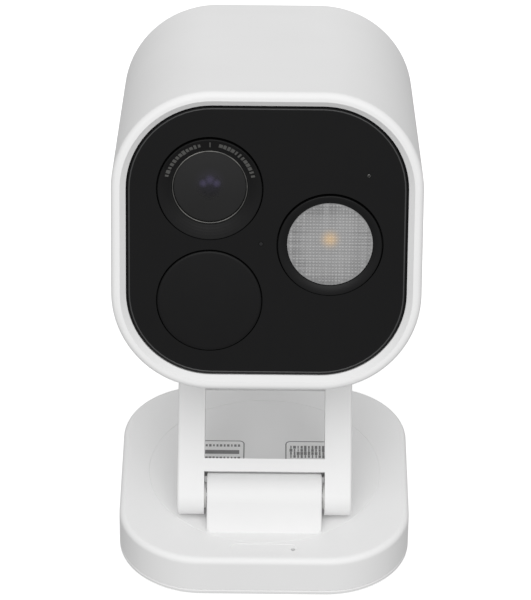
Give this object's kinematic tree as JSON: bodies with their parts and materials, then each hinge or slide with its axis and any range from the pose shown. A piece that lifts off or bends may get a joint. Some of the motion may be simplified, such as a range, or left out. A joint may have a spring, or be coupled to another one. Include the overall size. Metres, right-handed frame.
{
  "type": "floodlight security camera",
  "caption": "Rounded-square tube camera with a lens, a motion sensor and a spotlight behind a dark panel, on a folding two-armed link and a swivelling square base.",
  "frame": {"origin": "middle of the foot pad's underside, on the wall or table", "axes": "+Z out of the wall or table; -Y the way the lens faces with the swivel at rest; +X along both hinge pins"},
  "size_m": [0.08, 0.1142, 0.1435],
  "materials": {
    "white_casing": "fine satin moulded texture",
    "plate_plastic": "satin moulded",
    "soft_pad": "matt silicone sheet",
    "seal_rubber": "matt",
    "slip_plastic": "waxy",
    "inner_plastic": "moulded, black",
    "screw_steel": "plated",
    "pin_steel": "ground",
    "panel_gloss": "polished black",
    "hood_black": "fine matt black",
    "trim_metal": "turned",
    "cover_glass": "coated",
    "barrel_black": "matt black, stepped",
    "lens_glass": "blue and violet coating",
    "sensor_silicon": "polished",
    "board_laminate": "solder mask",
    "pir_window_dark": "dark, faint facets behind",
    "pir_can": "plated",
    "bezel_black": "polished black",
    "spotlight_clear": "clear, fine square prisms",
    "reflector_bright": "vacuum metallised",
    "led_phosphor": "soft yellow phosphor",
    "sink_aluminium": "die cast",
    "light_pipe_clear": "clear, moulded",
    "module_metal": "tinned",
    "module_black": "moulded black"
  },
  "bodies": {
    "base": {"base_cover": "white_casing", "mounting_plate": "plate_plastic", "foot_pad": "soft_pad", "release_latch": "plate_plastic", "swivel_washer": "slip_plastic"},
    "turntable": {"turntable": "white_casing", "turntable_retainer": "inner_plastic", "friction_washer": "pin_steel", "retainer_screws": "screw_steel"},
    "link": {"link_frame": "white_casing", "lower_hinge_pin": "pin_steel", "upper_hinge_pin": "pin_steel", "lower_pin_caps": "white_casing", "upper_pin_caps": "white_casing", "lower_hinge_washers": "slip_plastic", "upper_hinge_washers": "slip_plastic"},
    "head": {"housing_shell": "white_casing", "head_knuckle": "white_casing", "rear_cover": "white_casing", "front_gasket": "seal_rubber", "rear_gasket": "seal_rubber", "speaker_gasket": "seal_rubber", "socket_seal": "seal_rubber", "card_slot_plug": "seal_rubber", "chassis": "inner_plastic", "chassis_screws": "screw_steel", "knuckle_screws": "screw_steel", "sensor_board_screws": "screw_steel", "pir_board_screws": "screw_steel", "heat_sink_screws": "screw_steel", "main_board_screws": "screw_steel", "rear_screws": "screw_steel", "front_panel": "panel_gloss", "lens_hood": "hood_black", "lens_trim_ring": "trim_metal", "lens_cover_glass": "cover_glass", "lens_barrel": "barrel_black", "lens_holder": "barrel_black", "lens_front_element": "lens_glass", "image_sensor": "sensor_silicon", "sensor_board": "board_laminate", "pir_board": "board_laminate", "led_board": "board_laminate", "main_board": "board_laminate", "wifi_antenna": "board_laminate", "pir_window": "pir_window_dark", "pir_sensor": "pir_can", "spotlight_bezel": "bezel_black", "spotlight_lens": "spotlight_clear", "spotlight_reflector": "reflector_bright", "spotlight_led": "led_phosphor", "heat_sink": "sink_aluminium", "status_light_pipe": "light_pipe_clear", "microphone": "module_metal", "shield_can": "module_metal", "card_socket": "module_metal", "setup_switch": "module_black", "speaker": "module_black", "power_socket": "module_black"},
    "setup_button": {"setup_button": "white_casing"}
  },
  "joints": [
    {"name": "base_swivel", "type": "hinge", "parent": "base", "child": "turntable", "pos_m": [0, 0, 0], "axis": [0, 0, 1], "range_deg": [-170, 170]},
    {"name": "lower_tilt", "type": "hinge", "parent": "turntable", "child": "link", "pos_m": [0, -0.019, 0.01815], "axis": [1, 0, 0], "range_deg": [-10, 46]},
    {"name": "upper_tilt", "type": "hinge", "parent": "link", "child": "head", "pos_m": [0, 0.00905, 0.04524], "axis": [1, 0, 0], "range_deg": [-20, 36]},
    {"name": "setup_button_press", "type": "slide", "parent": "head", "child": "setup_button", "axis": [0, -0.9578, 0.2874], "range_m": [0, 0.0008], "stiffness_N_per_m": 800, "springref_m": -0.0005}
  ]
}
